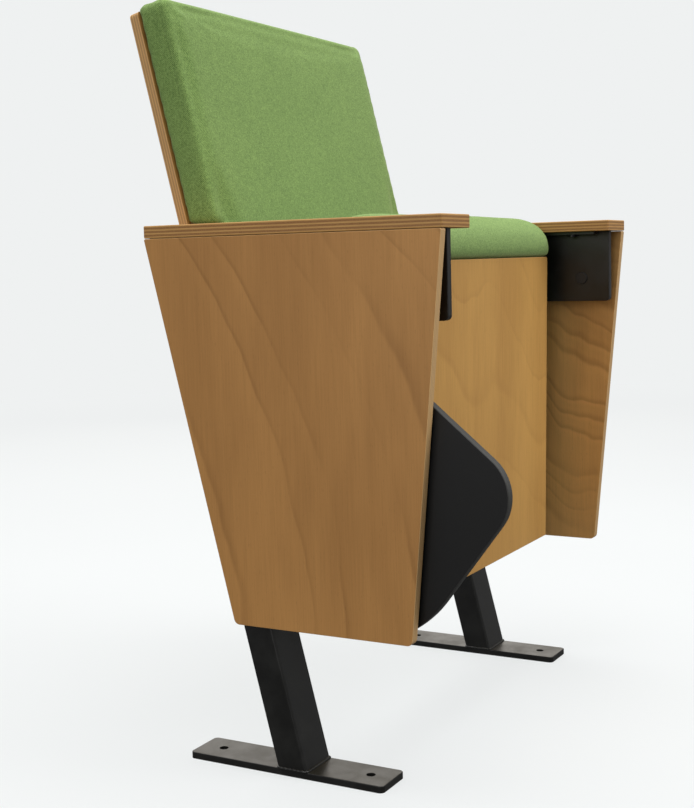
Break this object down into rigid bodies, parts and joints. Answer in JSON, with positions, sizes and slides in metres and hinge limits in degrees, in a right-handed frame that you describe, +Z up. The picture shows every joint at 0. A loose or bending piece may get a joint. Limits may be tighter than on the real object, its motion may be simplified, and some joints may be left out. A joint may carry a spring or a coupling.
{
  "type": "tip-up lecture seat with folding writing tablet",
  "caption": "Floor-fixed lecture-hall chair with a tip-up padded seat, a raked padded back, wooden side panels and armrests, black steel legs, and a writing tablet stored beside the seat.",
  "frame": {"origin": "on the floor, at the centre of the four floor-bolt holes", "axes": "+Z up, +Y towards the back of the chair, +X towards the sitter's left"},
  "size_m": [0.6166, 0.4984, 0.9126],
  "materials": {
    "oak_veneer_ply": "satin lacquered veneered plywood",
    "core_ply": "raw plywood",
    "green_fabric": "woven polyester upholstery over foam",
    "tablet_laminate": "black laminate with a charcoal edge",
    "black_powder_coat": "fine-textured powder coat",
    "zinc_steel": "zinc plated",
    "black_nylon": "moulded nylon",
    "black_rubber": "moulded rubber"
  },
  "bodies": {
    "frame": {"armrest_left": "oak_veneer_ply", "armrest_rail_left": "black_powder_coat", "armrest_rail_right": "black_powder_coat", "armrest_right": "oak_veneer_ply", "armrest_screws": "zinc_steel", "backrest_board": "core_ply", "backrest_bracket_bolts": "zinc_steel", "backrest_bracket_left": "black_powder_coat", "backrest_bracket_right": "black_powder_coat", "backrest_cushion": "green_fabric", "backrest_panel": "oak_veneer_ply", "backrest_screws": "zinc_steel", "foot_plate_left": "black_powder_coat", "foot_plate_right": "black_powder_coat", "leg_left": "black_powder_coat", "leg_right": "black_powder_coat", "panel_angle_left": "black_powder_coat", "panel_angle_right": "black_powder_coat", "panel_angle_screws": "zinc_steel", "panel_screws": "zinc_steel", "pivot_hole_plug": "black_nylon", "retaining_rings": "zinc_steel", "seat_bracket_bolts": "zinc_steel", "seat_bracket_left": "black_powder_coat", "seat_bracket_right": "black_powder_coat", "seat_pivot_pin_left": "zinc_steel", "seat_pivot_pin_right": "zinc_steel", "seat_stop_buffers": "black_rubber", "side_panel_left": "oak_veneer_ply", "side_panel_right": "oak_veneer_ply", "support_plate_left": "black_powder_coat", "support_plate_right": "black_powder_coat", "tablet_friction_disc": "black_nylon", "tablet_pivot_bolt": "zinc_steel", "tablet_pivot_washer": "zinc_steel", "tablet_rest_buffer": "black_rubber", "tablet_rest_stud": "zinc_steel", "tablet_stop_pin": "zinc_steel", "thrust_washer_left": "black_nylon", "thrust_washer_right": "black_nylon"},
    "seat": {"return_spring_left": "zinc_steel", "return_spring_right": "zinc_steel", "seat_batten_front": "core_ply", "seat_batten_rear": "core_ply", "seat_board": "core_ply", "seat_bush_left": "black_nylon", "seat_bush_right": "black_nylon", "seat_cushion": "green_fabric", "seat_hinge_plate_left": "zinc_steel", "seat_hinge_plate_right": "zinc_steel", "seat_hinge_screws": "zinc_steel", "seat_underside_panel": "oak_veneer_ply"},
    "tablet_arm": {"tablet_arm": "black_powder_coat", "tablet_hinge_pin": "zinc_steel"},
    "tablet": {"tablet_board": "tablet_laminate", "tablet_hinge_leaf": "zinc_steel", "tablet_leaf_screws": "zinc_steel"}
  },
  "joints": [
    {"name": "seat_tip", "type": "hinge", "parent": "frame", "child": "seat", "pos_m": [0, -0.10225, 0.366], "axis": [1, 0, 0], "range_deg": [0, 85], "stiffness_Nm_per_rad": 2.4, "springref_deg": -34.38},
    {"name": "tablet_swing", "type": "hinge", "parent": "frame", "child": "tablet_arm", "pos_m": [-0.28, -0.17165, 0.56], "axis": [-1, 0, 0], "range_deg": [0, 150]},
    {"name": "tablet_fold", "type": "hinge", "parent": "tablet_arm", "child": "tablet", "pos_m": [-0.29, -0.13851, 0.4254], "axis": [0, -0.866, 0.5], "range_deg": [0, 90]}
  ],
  "couplings": [
    {"joint": "tablet_fold", "follows": "tablet_swing", "ratio": 0.6}
  ]
}
